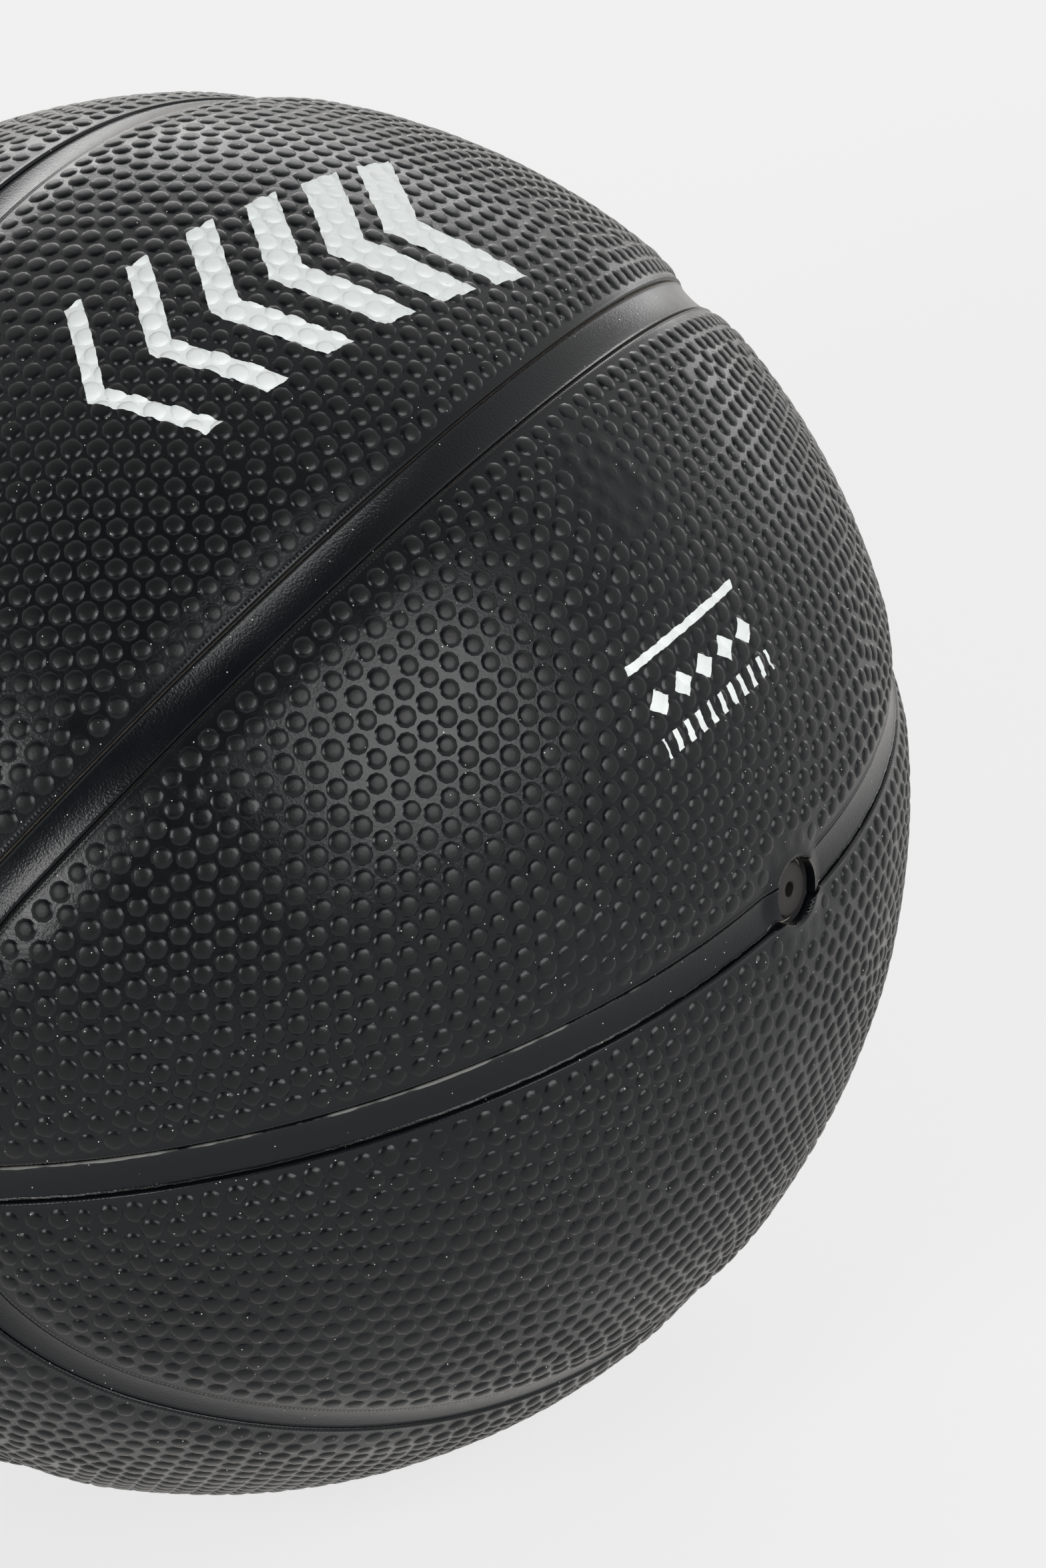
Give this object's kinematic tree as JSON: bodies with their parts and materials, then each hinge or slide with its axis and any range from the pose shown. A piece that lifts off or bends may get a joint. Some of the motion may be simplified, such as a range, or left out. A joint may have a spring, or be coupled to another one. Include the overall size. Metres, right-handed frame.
{
  "type": "mini basketball",
  "caption": "Black moulded-rubber mini basketball with pebbled panels, sunk seam strips, a wound carcass over a bladder, and a needle valve with a removable plug.",
  "frame": {"origin": "centre of the ball", "axes": "+X out through the valve, +Z square to the equator seam that the valve lies on, and the Y axis through the two points where the equator and meridian seams cross"},
  "size_m": [0.1778, 0.1778, 0.178],
  "materials": {
    "cover_rubber": "pebbled satin",
    "strip_rubber": "smooth satin",
    "carcass_rubber": "matt",
    "nylon_thread": "wound thread",
    "bladder_rubber": "matt",
    "patch_rubber": "matt",
    "boot_rubber": "matt",
    "plug_rubber": "satin"
  },
  "bodies": {
    "ball": {"valve_side_top_panel": "cover_rubber", "valve_side_upper_panel": "cover_rubber", "valve_side_lower_panel": "cover_rubber", "valve_side_bottom_panel": "cover_rubber", "far_side_top_panel": "cover_rubber", "far_side_upper_panel": "cover_rubber", "far_side_lower_panel": "cover_rubber", "far_side_bottom_panel": "cover_rubber", "equator_strip_left": "strip_rubber", "equator_strip_right": "strip_rubber", "meridian_strip_upper": "strip_rubber", "meridian_strip_lower": "strip_rubber", "valve_side_loop_upper": "strip_rubber", "valve_side_loop_lower": "strip_rubber", "far_side_loop_upper": "strip_rubber", "far_side_loop_lower": "strip_rubber", "carcass": "carcass_rubber", "winding": "nylon_thread", "bladder": "bladder_rubber", "valve_patch": "patch_rubber", "valve_boot": "boot_rubber"},
    "plug": {"valve_plug": "plug_rubber"}
  },
  "joints": [
    {"name": "plug_slide", "type": "slide", "parent": "ball", "child": "plug", "axis": [1, 0, 0], "range_m": [0, 0.014]}
  ]
}
